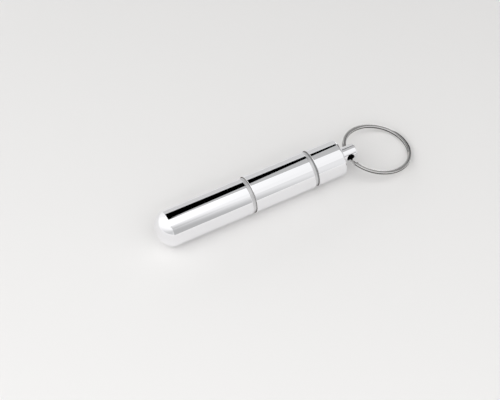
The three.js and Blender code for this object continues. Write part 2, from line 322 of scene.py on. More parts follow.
def ring_steel(finish):
    """Nickel-plated spring steel, rolled flat: bright, with small dulled spots."""
    material, tree, place = new_material("spring_steel_nickel_plated")
    # Dulled spots 0.8 mm across
    spots = add(tree, "ShaderNodeTexNoise", inputs={"Vector": place, "Scale": 1 / (0.8 * MM), "Detail": 3.0})
    rough = add(tree, "ShaderNodeMapRange", inputs={
        "Value": spots, "From Min": 0.35, "From Max": 0.75, "To Min": 0.03, "To Max": 0.08})
    tone = add(tree, "ShaderNodeMix", {"data_type": "RGBA"}, {
        "Factor": spots, MIX_A: opaque(finish.steel), MIX_B: opaque(finish.steel, 0.88)})
    close_material(tree, spots, 0.08, 0.03 * MM, {
        "Base Color": tone.outputs[MIX_RESULT], "Metallic": 1.0, "Roughness": rough})
    return material


def seal_rubber(finish):
    """Moulded nitrile rubber: pale grey, matt, with a fine mould grain."""
    material, tree, place = new_material("nitrile_rubber_moulded")
    # Mould grain 0.15 mm across
    grain = add(tree, "ShaderNodeTexNoise", inputs={"Vector": place, "Scale": 1 / (0.15 * MM), "Detail": 2.0})
    rough = add(tree, "ShaderNodeMapRange", inputs={"Value": grain, "To Min": 0.55, "To Max": 0.8})
    tone = add(tree, "ShaderNodeMix", {"data_type": "RGBA"}, {
        "Factor": grain, MIX_A: opaque(finish.rubber, 0.85), MIX_B: opaque(finish.rubber)})
    close_material(tree, grain, 0.3, 0.02 * MM, {
        "Base Color": tone.outputs[MIX_RESULT], "Roughness": rough, "IOR": 1.52})
    return material


def shade_metal(name, tone):
    """Dark dull metal, painted as shade on faces where shade falls, with fine cutting marks."""
    material, tree, place = new_material(name)
    # Cutting marks 0.1 mm apart
    marks = add(tree, "ShaderNodeTexNoise", inputs={"Vector": place, "Scale": 1 / (0.1 * MM), "Detail": 3.0})
    rough = add(tree, "ShaderNodeMapRange", inputs={
        "Value": marks, "From Min": 0.3, "From Max": 0.7, "To Min": 0.45, "To Max": 0.65})
    close_material(tree, marks, 0.3, 0.02 * MM, {
        "Base Color": opaque(tone), "Metallic": 1.0, "Roughness": rough})
    return material


def birch_wood(finish):
    """Birch, turned and unfinished: pale, with fine darker fibres along the pick."""
    material, tree, place = new_material("birch_turned_unfinished")
    along = add(tree, "ShaderNodeMapping", inputs={"Vector": place, "Scale": FIBRE_STRETCH})
    # Fibres 0.25 mm wide
    fibres = add(tree, "ShaderNodeTexNoise", inputs={
        "Vector": along, "Scale": 1 / (0.25 * MM), "Detail": 5.0, "Roughness": 0.65})
    # Growth bands 1.6 mm wide
    bands = add(tree, "ShaderNodeTexNoise", inputs={"Vector": along, "Scale": 1 / (1.6 * MM), "Detail": 2.0})
    mixed = add(tree, "ShaderNodeMath", {"operation": "MULTIPLY_ADD"}, {0: fibres, 1: 0.7, 2: bands})
    factor = add(tree, "ShaderNodeMapRange", inputs={
        "Value": mixed, "From Min": 0.7, "From Max": 1.15, "To Min": 0.0, "To Max": 0.85})
    tone = add(tree, "ShaderNodeMix", {"data_type": "RGBA"}, {
        "Factor": factor, MIX_A: opaque(finish.birch), MIX_B: opaque(finish.grain)})
    close_material(tree, fibres, 0.5, 0.04 * MM, {
        "Base Color": tone.outputs[MIX_RESULT], "Roughness": 0.68, "IOR": 1.5})
    return material


MAKERS = {
    "polished_chrome": polished_chrome,
    "satin_aluminium": satin_aluminium,
    "ring_steel": ring_steel,
    "seal_rubber": seal_rubber,
    "pick_wood": birch_wood,
}
MADE = {}


def material_for(node):
    """The material of a node's slot, made the first time that it is asked for."""
    slot = SLOT_OF[node]
    if slot not in MADE:
        MADE[slot] = MAKERS[slot](bpy.context.scene.finishes)
    return MADE[slot]


def paint_shade_on(piece, name, tone, chosen):
    """Paints shade on the chosen faces of a plated piece, in a dark material of the given name and tone."""
    if name not in MADE:
        MADE[name] = shade_metal(name, tone)
    piece.data.materials.append(MADE[name])
    for face in piece.data.polygons:
        if chosen(face):
            face.material_index = 1


def shade_cut_rims(piece, *places):
    """Paints the rims where a tube was cut to length dark, as the shade in the gaps at the joints."""
    scene = bpy.context.scene
    near = scene.holder_sizes.rim_round
    paint_shade_on(piece, "brass_cut_tarnished", scene.finishes.cut,
               lambda face: abs(face.normal.x) > CUT_FACING
               and min(abs(face.center.x - x) for x in places) < near)


def eased(corners, closed=True):
    """A profile of (x, radius, rounding) corners as points: a rounding is an arc between two hold points."""
    points = []
    for i, (x, radius, rounding) in enumerate(corners):
        corner = Vector((x, radius))
        ends = not closed and i in (0, len(corners) - 1)
        if ends or not rounding:
            points.append(corner)
            continue
        back = (Vector(corners[i - 1][:2]) - corner).normalized()
        on = (Vector(corners[(i + 1) % len(corners)][:2]) - corner).normalized()
        half = back.angle(on) / 2
        reach = rounding / math.tan(half)
        middle = corner + (back + on).normalized() * rounding / math.sin(half)
        first = corner + back * reach - middle
        turn = (corner + on * reach - middle).angle_signed(first)
        points.append(corner + back * (reach + rounding * HOLD))
        for step in range(ARC_STEPS + 1):
            points.append(middle + Matrix.Rotation(turn * step / ARC_STEPS, 2) @ first)
        points.append(corner + on * (reach + rounding * HOLD))
    return [(p.x, p.y, 0) for p in points]


def lathe(name, profile, sides, closed=True, ridge=None):
    """Turns a profile of (x, radius, thread) points about the barrel's axis into a closed mesh."""
    mesh = bmesh.new()
    rings = []
    for x, radius, thread in profile:
        if radius < ON_AXIS:
            rings.append([mesh.verts.new((x, *AXIS))] * sides)
            continue
        ring = []
        for k in range(sides):
            angle = math.tau * k / sides
            out = radius + (thread * ridge(x, angle) if thread else 0)
            ring.append(mesh.verts.new((x, AXIS[0] + out * math.cos(angle), AXIS[1] + out * math.sin(angle))))
        rings.append(ring)
    onward = rings[1:] + rings[:1] if closed else rings[1:]
    for near, far in zip(rings, onward):
        for k in range(sides):
            following = (k + 1) % sides
            corners = [near[k], near[following], far[following], far[k]]
            face = list(dict.fromkeys(corners))
            if len(face) > 2:
                mesh.faces.new(face)
    return as_piece(name, mesh)


def as_piece(name, mesh):
    """A finished bmesh as an object at the origin, its faces out and smooth up to sharp edges."""
    bmesh.ops.remove_doubles(mesh, verts=mesh.verts, dist=SAME_SPOT)
    bmesh.ops.recalc_face_normals(mesh, faces=mesh.faces)
    data = bpy.data.meshes.new(name)
    mesh.to_mesh(data)
    mesh.free()
    smooth(data)
    piece = bpy.data.objects.new(name, data)
    bpy.context.scene.collection.objects.link(piece)
    return piece


def smooth(data):
    """Smooth shading that keeps sharp edges."""
    data.shade_smooth()
    data.set_sharp_from_angle(angle=SHARP)


def close_slivers(data):
    """Closes the slivers that a cut leaves."""
    mesh = bmesh.new()
    mesh.from_mesh(data)
    bmesh.ops.remove_doubles(mesh, verts=mesh.verts, dist=SLIVER)
    bmesh.ops.dissolve_degenerate(mesh, edges=mesh.edges, dist=SLIVER)
    mesh.to_mesh(data)
    mesh.free()


def settle(piece, *nodes):
    """Gives a piece the material of its nodes' slot, puts it in the place of its nodes and on their body."""
    piece.data.materials.clear()
    piece.data.materials.append(material_for(nodes[0]))
    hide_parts(*nodes)
    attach(piece, BODY_OF[nodes[0]])


def grown(name, tree, values):
    """Runs a geometry tree with the given inputs and keeps its result as a plain mesh."""
    piece = bpy.data.objects.new(name, bpy.data.meshes.new(name))
    bpy.context.scene.collection.objects.link(piece)
    modifier = piece.modifiers.new("shape", "NODES")
    modifier.node_group = tree
    for item in tree.interface.items_tree:
        if item.in_out == "INPUT":
            modifier[item.identifier] = values[item.name]
    graph = bpy.context.evaluated_depsgraph_get()
    data = bpy.data.meshes.new_from_object(piece.evaluated_get(graph))
    piece.modifiers.clear()
    piece.data = data
    data.name = name
    smooth(data)
    return piece


def thread_form(sizes, offset=0):
    """Height of a right-hand thread by the place along the axis and the angle round it."""

    def height(x, angle):
        phase = (x / sizes.thread_lead - angle / math.tau) * sizes.thread_starts + offset
        away = abs(phase % 1 - 0.5)
        rise = min(max((THREAD_TOP + THREAD_FLANK - away) / THREAD_FLANK, 0), 1)
        return sizes.thread_depth * rise * rise * (3 - 2 * rise)

    return height


def threaded_rows(start, end, radius, sign, fade):
    """Rows of a profile that carry a thread, which rises and dies away over the fade."""
    rows = []
    for i in range(THREAD_ROWS + 1):
        x = start + (end - start) * i / THREAD_ROWS
        near = min(abs(x - start), abs(end - x)) / fade
        rows.append((x, radius, sign * min(near, 1)))
    return rows


class KEYCHAIN_OT_dome_shell(Operator):
    """Makes the polished shell with the domed end"""
    bl_idname = "keychain.dome_shell"
    bl_label = "Dome Shell"

    def execute(self, context):
        sizes = context.scene.holder_sizes
        radius = true_radius("dome_shell")
        bore = radius - sizes.wall
        sphere = (radius ** 2 + sizes.dome_depth ** 2) / (2 * sizes.dome_depth)
        inner = sphere - sizes.wall
        outside = []
        inside = []
        for i in range(DOME_STEPS):
            angle = math.asin(radius / sphere) * i / DOME_STEPS
            outside.append((DOME_TIP + sphere * (1 - math.cos(angle)), sphere * math.sin(angle), 0))
        for i in range(DOME_STEPS, -1, -1):
            angle = math.asin(bore / inner) * i / DOME_STEPS
            inside.append((DOME_TIP + sphere - inner * math.cos(angle), inner * math.sin(angle), 0))
        crease = (DOME_TIP + sizes.dome_depth, radius, SOFT_EDGE)
        rim = [(SHELL_RIM, radius, sizes.rim_round), (SHELL_RIM, bore, EASE)]
        profile = eased([*outside, crease, *rim, *inside], closed=False)
        shell = lathe("dome_shell_skin", profile, BARREL_SIDES, closed=False)
        settle(shell, "dome_shell")
        shade_cut_rims(shell, SHELL_RIM)
        return {"FINISHED"}


class KEYCHAIN_OT_joining_collar(Operator):
    """Makes the satin collar between the shell and the tube"""
    bl_idname = "keychain.joining_collar"
    bl_label = "Joining Collar"

    def execute(self, context):
        sizes = context.scene.holder_sizes
        band = true_radius("joining_collar")
        shell_spigot = true_radius("dome_shell") - sizes.wall - sizes.glue_gap
        tube_spigot = true_radius("middle_tube") - sizes.wall - sizes.glue_gap
        profile = eased([
            (COLLAR_LEFT, shell_spigot, CHAMFER),
            (SHELL_RIM, shell_spigot, 0),
            (SHELL_RIM, band, EASE),
            (TUBE_LEFT, band, EASE),
            (TUBE_LEFT, tube_spigot, 0),
            (COLLAR_RIGHT, tube_spigot, CHAMFER),
            (COLLAR_RIGHT, sizes.bore, CHAMFER),
            (COLLAR_LEFT, sizes.bore, CHAMFER),
        ])
        settle(lathe("joining_collar_turned", profile, BARREL_SIDES), "joining_collar")
        return {"FINISHED"}


class KEYCHAIN_OT_middle_tube(Operator):
    """Makes the polished middle tube"""
    bl_idname = "keychain.middle_tube"
    bl_label = "Middle Tube"

    def execute(self, context):
        sizes = context.scene.holder_sizes
        radius = true_radius("middle_tube")
        bore = radius - sizes.wall
        profile = eased([
            (TUBE_LEFT, radius, sizes.rim_round),
            (TUBE_RIGHT, radius, sizes.rim_round),
            (TUBE_RIGHT, bore, EASE),
            (TUBE_LEFT, bore, EASE),
        ])
        tube = lathe("middle_tube_skin", profile, BARREL_SIDES)
        settle(tube, "middle_tube")
        shade_cut_rims(tube, TUBE_LEFT, TUBE_RIGHT)
        return {"FINISHED"}


class KEYCHAIN_OT_screw_neck(Operator):
    """Makes the satin neck with its screw thread"""
    bl_idname = "keychain.screw_neck"
    bl_label = "Screw Neck"

    def execute(self, context):
        sizes = context.scene.holder_sizes
        band = true_radius("screw_neck")
        spigot = true_radius("middle_tube") - sizes.wall - sizes.glue_gap
        root = sizes.thread_radius - sizes.thread_depth
        start = CAP_RIM + CHAMFER
        end = NECK_RIM - RUN_OUT
        before = eased([
            (NECK_LEFT, sizes.bore, CHAMFER),
            (NECK_LEFT, spigot, CHAMFER),
            (TUBE_RIGHT, spigot, 0),
            (TUBE_RIGHT, band, EASE),
            (NECK_SHOULDER, band, EASE),
            (NECK_SHOULDER, root, 0),
            (start, root, 0),
        ], closed=False)
        after = eased([(end, root, 0), (NECK_RIM, root, SOFT_EDGE), (NECK_RIM, sizes.bore, CHAMFER),
                       (NECK_LEFT, sizes.bore, 0)], closed=False)
        rows = threaded_rows(start, end, root, 1, sizes.thread_lead * THREAD_FADE)
        profile = before[:-1] + rows + after[1:-1]
        settle(lathe("screw_neck_turned", profile, BARREL_SIDES, ridge=thread_form(sizes)), "screw_neck")
        return {"FINISHED"}


class KEYCHAIN_OT_neck_gasket(Operator):
    """Makes the rubber seal between the neck and the cap"""
    bl_idname = "keychain.neck_gasket"
    bl_label = "Neck Gasket"

    def execute(self, context):
        sizes = context.scene.holder_sizes
        outer = true_radius("neck_gasket")
        inner = sizes.thread_radius + sizes.gasket_gap
        edge = (outer - inner) * GASKET_ROUND
        profile = eased([
            (NECK_SHOULDER, outer, edge),
            (CAP_RIM, outer, edge),
            (CAP_RIM, inner, edge),
            (NECK_SHOULDER, inner, edge),
        ])
        settle(lathe("neck_gasket_seal", profile, BARREL_SIDES), "neck_gasket")
        return {"FINISHED"}


class KEYCHAIN_OT_cap_shell(Operator):
    """Makes the polished screw cap with the thread inside its mouth"""
    bl_idname = "keychain.cap_shell"
    bl_label = "Cap Shell"

    def execute(self, context):
        sizes = context.scene.holder_sizes
        radius = true_radius("cap_shell")
        mouth = sizes.thread_radius + sizes.thread_gap
        hollow = mouth - sizes.cap_shoulder
        shank_hole = sizes.shank + sizes.rivet_gap
        mouth_end = NECK_RIM + sizes.thread_relief
        inner_end = CAP_END - sizes.cap_end_wall
        start = CAP_RIM + SOFT_EDGE
        before = eased([
            (CAP_RIM, mouth, CHAMFER),
            (CAP_RIM, radius, sizes.rim_round),
            (CAP_END, radius, sizes.cap_end_round),
            (CAP_END, shank_hole, EASE),
            (inner_end, shank_hole, EASE),
            (inner_end, hollow, SOFT_EDGE),
            (mouth_end, hollow, EASE),
            (mouth_end, mouth, 0),
            (NECK_RIM, mouth, 0),
        ], closed=False)
        rows = threaded_rows(NECK_RIM, start, mouth, -1, sizes.thread_lead * THREAD_FADE)
        profile = before[1:-1] + rows + eased([(start, mouth, 0), (CAP_RIM, mouth, CHAMFER),
                                               (CAP_RIM, radius, 0)], closed=False)[1:-1]
        cap = lathe("cap_shell_skin", profile, BARREL_SIDES, ridge=thread_form(sizes, CAP_PHASE))
        settle(cap, "cap_shell")
        shade_cut_rims(cap, CAP_RIM)
        return {"FINISHED"}


class KEYCHAIN_OT_ring_post(Operator):
    """Makes the riveted post and drills its cross hole"""
    bl_idname = "keychain.ring_post"
    bl_label = "Ring Post"

    def execute(self, context):
        sizes = context.scene.holder_sizes
        head = true_radius("ring_post", POST_FLATS)
        profile = eased([
            (POST_LEFT, 0, 0),
            (POST_LEFT, sizes.rivet_head, sizes.rivet_height * RIVET_ROUND),
            (WASHER_LEFT, sizes.rivet_head, EASE),
            (WASHER_LEFT, sizes.shank, 0),
            (CAP_END, sizes.shank, 0),
            (CAP_END, head, EASE),
            (POST_END, head, sizes.post_chamfer),
            (POST_END, 0, 0),
        ], closed=False)
        post = lathe("ring_post_turned", profile, POST_SIDES, closed=False)
        drill = bmesh.new()
        bmesh.ops.create_cone(drill, cap_ends=True, segments=POST_SIDES, radius1=sizes.post_hole,
                              radius2=sizes.post_hole, depth=DRILL_LENGTH * head)
        bmesh.ops.transform(drill, matrix=Matrix.Translation(HOLE) @ Matrix.Rotation(math.pi / 2, 4, "X"),
                            verts=drill.verts)
        bit = as_piece("drill_bit", drill)
        cut = post.modifiers.new("cross_hole", "BOOLEAN")
        cut.object = bit
        cut.solver = "EXACT"
        graph = context.evaluated_depsgraph_get()
        drilled = bpy.data.meshes.new_from_object(post.evaluated_get(graph))
        post.modifiers.clear()
        post.data = drilled
        bpy.data.objects.remove(bit)
        close_slivers(drilled)
        smooth(drilled)
        settle(post, "ring_post")
        # The wall of the cross hole is painted dark, as the shade inside the hole
        paint_shade_on(post, "brass_drilled_tarnished", context.scene.finishes.painted_shade,
                   lambda face: (face.center - HOLE).xz.length < sizes.post_hole + EASE)
        return {"FINISHED"}


class KEYCHAIN_OT_post_washer(Operator):
    """Makes the washer under the rivet head"""
    bl_idname = "keychain.post_washer"
    bl_label = "Post Washer"

    def execute(self, context):
        sizes = context.scene.holder_sizes
        outer = true_radius("post_washer", POST_FLATS)
        hole = sizes.shank + sizes.rivet_gap
        profile = eased([
            (WASHER_LEFT, outer, CHAMFER),
            (WASHER_RIGHT, outer, EASE),
            (WASHER_RIGHT, hole, EASE),
            (WASHER_LEFT, hole, CHAMFER),
        ])
        settle(lathe("post_washer_stamped", profile, POST_SIDES), "post_washer")
        return {"FINISHED"}


def geometry_tree(name, inputs):
    """An empty geometry tree with named inputs, listed by their kind, and the sockets of its input node."""
    tree = bpy.data.node_groups.new(name, "GeometryNodeTree")
    for kind, labels in inputs.items():
        for label in labels:
            tree.interface.new_socket(name=label, in_out="INPUT", socket_type="NodeSocket" + kind)
    tree.interface.new_socket(name="Geometry", in_out="OUTPUT", socket_type="NodeSocketGeometry")
    return tree, add(tree, "NodeGroupInput").outputs


def close_tree(tree, geometry, material):
    """Ends a tree: real geometry, in its material."""
    real = add(tree, "GeometryNodeRealizeInstances", inputs={"Geometry": geometry})
    coated = add(tree, "GeometryNodeSetMaterial", inputs={"Geometry": real, "Material": material})
    add(tree, "NodeGroupOutput", inputs={0: coated})


def split_ring_tree():
    """Sweeps a flat rolled wire along two turns, one on the other, with a step between them."""
    tree, given = geometry_tree("split_ring", {
        "Float": ["Mean Radius", "Half Width", "Half Height", "Oval", "Edge", "Start", "End", "Step Start",
                  "Step End", "Upper", "Lower"],
        "Vector": ["Place", "Tilt"],
        "Material": ["Material"],
    })
    line = add(tree, "GeometryNodeCurvePrimitiveLine", inputs={"End": (1, 0, 0)})
    path = add(tree, "GeometryNodeResampleCurve", inputs={"Curve": line, "Count": RING_STEPS})
    along = add(tree, "GeometryNodeSplineParameter")
    angle = add(tree, "ShaderNodeMapRange", inputs={
        "Value": along.outputs["Factor"], "To Min": given["Start"], "To Max": given["End"]})
    height = add(tree, "ShaderNodeMapRange", {"interpolation_type": "SMOOTHSTEP"}, {
        "Value": angle, "From Min": given["Step Start"], "From Max": given["Step End"],
        "To Min": given["Upper"], "To Max": given["Lower"]})
    spoke = add(tree, "ShaderNodeCombineXYZ", inputs={"X": given["Mean Radius"], "Z": height})
    spot = add(tree, "ShaderNodeVectorRotate", {"rotation_type": "Z_AXIS"}, {"Vector": spoke, "Angle": angle})
    coil = add(tree, "GeometryNodeSetPosition", inputs={"Geometry": path, "Position": spot})
    upright = add(tree, "GeometryNodeSetCurveNormal", {"mode": "Z_UP"}, {"Curve": coil})
    # The section is a circle squared up by a power below 1, with crowned faces that are lower at the edges
    circle = add(tree, "GeometryNodeCurvePrimitiveCircle", inputs={"Resolution": WIRE_SIDES, "Radius": 1.0})
    where = add(tree, "GeometryNodeInputPosition")
    away = add(tree, "ShaderNodeVectorMath", {"operation": "ABSOLUTE"}, {0: where})
    fuller = add(tree, "ShaderNodeVectorMath", {"operation": "POWER"}, {0: away, 1: given["Oval"]})
    side = add(tree, "ShaderNodeVectorMath", {"operation": "SIGN"}, {0: where})
    square = add(tree, "ShaderNodeVectorMath", {"operation": "MULTIPLY"}, {0: fuller, 1: side})
    across = add(tree, "ShaderNodeSeparateXYZ", inputs={0: square}).outputs["X"]
    out = add(tree, "ShaderNodeMath", {"operation": "MULTIPLY"}, {0: across, 1: across})
    crown = add(tree, "ShaderNodeMapRange", inputs={"Value": out, "To Min": 1.0, "To Max": given["Edge"]})
    rise = add(tree, "ShaderNodeMath", {"operation": "MULTIPLY"}, {0: crown, 1: given["Half Height"]})
    half = add(tree, "ShaderNodeCombineXYZ", inputs={"X": given["Half Width"], "Y": rise})
    outline = add(tree, "ShaderNodeVectorMath", {"operation": "MULTIPLY"}, {0: square, 1: half})
    section = add(tree, "GeometryNodeSetPosition", inputs={"Geometry": circle, "Position": outline})
    wire = add(tree, "GeometryNodeCurveToMesh", inputs={
        "Curve": upright, "Profile Curve": section, "Fill Caps": True})
    hung = add(tree, "GeometryNodeTransform", inputs={
        "Geometry": wire, "Translation": given["Place"], "Rotation": given["Tilt"]})
    close_tree(tree, hung, given["Material"])
    return tree


class KEYCHAIN_OT_split_ring(Operator):
    """Makes the two-turn split ring where it hangs in the post's hole"""
    bl_idname = "keychain.split_ring"
    bl_label = "Split Ring"

    def execute(self, context):
        sizes = context.scene.ring_sizes
        pitch = sizes.wire_height + sizes.turn_gap
        reach = 2 * sizes.mean_radius - sizes.seat + sizes.wire_width / 2
        half = sizes.wire_height / 2 + pitch / 2
        hang = HOLE - Vector((0, 0, sizes.drop))
        droop = math.asin(hang.z / math.hypot(reach, half)) - math.atan2(half, reach)
        tilt = Matrix.Rotation(sizes.yaw, 3, "Z") @ Matrix.Rotation(droop, 3, "Y")
        middle = hang + tilt @ Vector((sizes.mean_radius - sizes.seat, 0, 0))
        start = sizes.step_start + sizes.step
        ring = grown("split_ring_wire", split_ring_tree(), {
            "Mean Radius": sizes.mean_radius, "Half Width": sizes.wire_width / 2,
            "Half Height": sizes.wire_height / 2, "Oval": sizes.oval, "Edge": sizes.edge,
            "Start": start, "End": start + 2 * math.tau - sizes.step - sizes.end_gap,
            "Step Start": sizes.step_start + math.tau, "Step End": start + math.tau,
            "Upper": pitch / 2, "Lower": -pitch / 2,
            "Place": middle, "Tilt": Vector(tilt.to_euler("XYZ")), "Material": material_for("split_ring"),
        })
        settle(ring, "split_ring")

        # Faces between the two turns are painted dark, as the shade in the gap between them
        def between_turns(face):
            spot = (face.center - middle) @ tilt
            turn = math.atan2(spot.y, spot.x) % math.tau - sizes.step_start
            inward = -(face.normal @ tilt).z * math.copysign(1, spot.z)
            return not 0 < turn < sizes.step and inward > GAP_FACING

        paint_shade_on(ring, "spring_steel_oxidised", context.scene.finishes.painted_shade, between_turns)
        return {"FINISHED"}


def toothpick_tree():
    """Turns one toothpick: a round stick with a point at each end and the slight unevenness of wood."""
    tree, given = geometry_tree("toothpick", {
        "Float": ["Length", "Radius", "Tip", "Taper", "Fibre", "Seed"],
        "Vector": ["Place"],
        "Material": ["Material"],
    })
    end = add(tree, "ShaderNodeCombineXYZ", inputs={"X": given["Length"]})
    line = add(tree, "GeometryNodeCurvePrimitiveLine", inputs={"End": end})
    stick = add(tree, "GeometryNodeResampleCurve", inputs={"Curve": line, "Count": PICK_STEPS})
    along = add(tree, "GeometryNodeSplineParameter").outputs["Length"]
    left = add(tree, "ShaderNodeMath", {"operation": "SUBTRACT"}, {0: given["Length"], 1: along})
    nearer = add(tree, "ShaderNodeMath", {"operation": "MINIMUM"}, {0: along, 1: left})
    point = add(tree, "ShaderNodeMapRange", inputs={"Value": nearer, "From Max": given["Taper"]})
    # A point is turned with a slight belly
    belly = add(tree, "ShaderNodeMath", {"operation": "POWER"}, {0: point, 1: BELLY})
    radius = add(tree, "ShaderNodeMapRange", inputs={
        "Value": belly, "To Min": given["Tip"], "To Max": given["Radius"]})
    circle = add(tree, "GeometryNodeCurvePrimitiveCircle", inputs={"Resolution": PICK_SIDES, "Radius": 1.0})
    body = add(tree, "GeometryNodeCurveToMesh", inputs={
        "Curve": stick, "Profile Curve": circle, "Fill Caps": True, "Scale": radius})
    where = add(tree, "GeometryNodeInputPosition")
    # The wood is uneven along its fibres
    drawn = add(tree, "ShaderNodeVectorMath", {"operation": "MULTIPLY"}, {0: where, 1: FIBRE_STRETCH})
    uneven = add(tree, "ShaderNodeTexNoise", {"noise_dimensions": "4D"}, {
        "Vector": drawn, "W": given["Seed"], "Scale": 1 / WAVE, "Detail": 2.0})
    # The wood only shrinks from its turned size
    inward = add(tree, "ShaderNodeMath", {"operation": "SUBTRACT"}, {0: uneven, 1: FULL_SIZE})
    depth = add(tree, "ShaderNodeMath", {"operation": "MULTIPLY"}, {0: inward, 1: given["Fibre"]})
    out = add(tree, "GeometryNodeInputNormal")
    shift = add(tree, "ShaderNodeVectorMath", {"operation": "SCALE"}, {0: out, "Scale": depth})
    worn = add(tree, "GeometryNodeSetPosition", inputs={"Geometry": body, "Offset": shift})
    laid = add(tree, "GeometryNodeTransform", inputs={"Geometry": worn, "Translation": given["Place"]})
    close_tree(tree, laid, given["Material"])
    return tree


class KEYCHAIN_OT_toothpicks(Operator):
    """Makes the toothpicks where they lie in the barrel"""
    bl_idname = "keychain.toothpicks"
    bl_label = "Toothpicks"

    def execute(self, context):
        sizes = context.scene.pick_sizes
        tree = toothpick_tree()
        for number, node in enumerate(PICK_NAMES):
            low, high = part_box(node)
            middle = (low + high) / 2
            pick = grown(node + "_turned", tree, {
                "Length": high.x - low.x, "Radius": (high.y - low.y) / 2, "Tip": sizes.tip,
                "Taper": sizes.taper, "Fibre": sizes.fibre, "Seed": number * SEED_STEP,
                "Place": Vector((low.x, middle.y, middle.z)), "Material": material_for(node),
            })
            settle(pick, node)
        return {"FINISHED"}


# The studio: a white tent whose cards the polished barrel mirrors, in metres
ROOF = 0.55
BACK = 0.88
FRONT = -0.72
LEFT = -0.62
RIGHT = 0.95
FRONT_SPLIT = -0.10      # where the two front cards meet
GAP_FRONT = 0.46         # the tent stands open in its right wall
GAP_REAR = 0.79

# Where the roof's cards meet, as (x, y): the edges of the softbox, the grey flag and the dark slot
SOFTBOX_FRONT = -0.34
SOFTBOX_REAR = [(LEFT, 0.66), (0.094, 0.087), (0.193, 0.005), (RIGHT, -0.30)]
FLAG_EDGE = [(0.092, 0.152), (0.118, 0.172), (0.146, 0.204), (0.249, 0.404), (0.330, 0.540)]
FLAG_RIGHT = (RIGHT, 0.45)
SLOT_REAR = [(0.305, 0.625), (0.250, 0.675), (0.215, 0.715), (0.186, 0.830), (0.182, BACK)]
SLOT_LEFT = [(0.0, BACK), (0.0, 0.165)]

# The dark patch of floor by the open side, the opening in the roof above it and the light behind it
SIDE_FLOOR = [(0.30, 0.13), (RIGHT, GAP_FRONT), (RIGHT, BACK), (0.60, BACK), (0.25, 0.34)]
ROOF_GAP_LEFT = 0.76
ROOF_GAP_FRONT = 0.40
BACK_LIGHT_LEFT = 0.74

# Each card's light as polished metal mirrors it, and the light that it casts on matt surfaces. Where the
# mirrored light fades: a direction, the places along it where the fade begins and ends, and the light beyond
ALONG = (1, 0, 0)
DIM = 0.27
CARD_LIGHT = {
    "softbox": (1.15, 1.28, ALONG, 0.07, 0.20, 1.01),
    "grey_flag": (0.52, DIM, ALONG, 0.35, 0.55, 0.32),
    "dark_slot": (0.0, DIM),
    "roof_left": (1.0, DIM),
    "roof_rear": (0.70, DIM, ALONG, 0.35, 0.55, 0.32),
    "roof_front_left": (0.8, 1.55, ALONG, -0.5, -0.25, 0.56),
    "roof_front": (0.56, 1.55, (1, 0.353, 0), -0.08, 0.01, 0.99),
    "front_wall_left": (0.75, 1.05, ALONG, -0.5, -0.25, 0.49),
    "front_wall": (0.49, 1.05, (1, 0, 0.1), 0.165, 0.285, 0.86),
    "back_wall": (1.0, 1.1, ALONG, -0.45, 0.1, 0.66),
    "left_wall": (0.66, 1.85, (0, 1, 1.8), -0.25, 0.40, 1.1),
    "right_wall": (0.6, DIM),
    "side_gap": (0.02, DIM),
    "side_floor": (0.02, DIM),
    "roof_gap": (0.02, DIM),
    "corner_light": (1.6, DIM),
    "back_light": (1.6, DIM),
}

# The floor, in metres: half its width, how far it lies below the holder, and where it turns white
FLOOR_REACH = 3.0
FLOOR_DROP = 0.02 * MM
WHITE_FROM = 0.12
WHITE_TO = 0.42

# Camera, in metres, as the photograph was taken
CAMERA_PLACE = Vector((-0.230937, -0.467859, 0.610526))
CAMERA_AIM = Vector((-0.012243, 0.003941, 0))
CAMERA_ROLL = math.radians(-3.476)
CAMERA_NEAR = 0.01       # the nearest that it sees
SENSOR_WIDTH = 36        # in millimetres, as camera data has it


def flat_piece(name, corners, material):
    """A flat piece of the stage with one face."""
    data = bpy.data.meshes.new(name)
    data.from_pydata(corners, [], [range(len(corners))])
    data.materials.append(material)
    piece = bpy.data.objects.new(name, data)
    bpy.context.scene.collection.objects.link(piece)
    return piece


def card(name, corners, light, mirrored, cast, direction=None, start=0.0, end=0.0, beyond=0.0):
    """A card of the tent: polished metal mirrors one light of it, and matt surfaces get another."""
    material, tree, place = new_material(name + "_glow")
    strength = mirrored * light
    if direction:
        along = add(tree, "ShaderNodeVectorMath", {"operation": "DOT_PRODUCT"}, {0: place, 1: direction})
        strength = add(tree, "ShaderNodeMapRange", {"interpolation_type": "SMOOTHSTEP"}, {
            "Value": along.outputs["Value"], "From Min": start, "From Max": end,
            "To Min": mirrored * light, "To Max": beyond * light})
    path = add(tree, "ShaderNodeLightPath")
    given = add(tree, "ShaderNodeMapRange", inputs={
        "Value": path.outputs["Diffuse Depth"], "To Min": strength, "To Max": cast * light})
    glow = add(tree, "ShaderNodeEmission", inputs={"Strength": given})
    add(tree, "ShaderNodeOutputMaterial", inputs={"Surface": glow})
    # Only a ray that meets the card tells the two lights apart, so the card isn't sampled as a lamp
    material.cycles.emission_sampling = "NONE"
    flat_piece(name, corners, material).visible_camera = False


def oblong(x0, y0, x1, y1):
    """Corners of an oblong, as (x, y)."""
    return [(x0, y0), (x1, y0), (x1, y1), (x0, y1)]


def level(points, height=ROOF):
    """Points at one height, given as (x, y)."""
    return [(x, y, height) for x, y in points]


def wall_x(x, y0, y1):
    """Corners of a tent wall that faces along X."""
    return [(x, y0, 0), (x, y1, 0), (x, y1, ROOF), (x, y0, ROOF)]


def wall_y(y, x0, x1):
    """Corners of a tent wall that faces along Y."""
    return [(x0, y, 0), (x1, y, 0), (x1, y, ROOF), (x0, y, ROOF)]


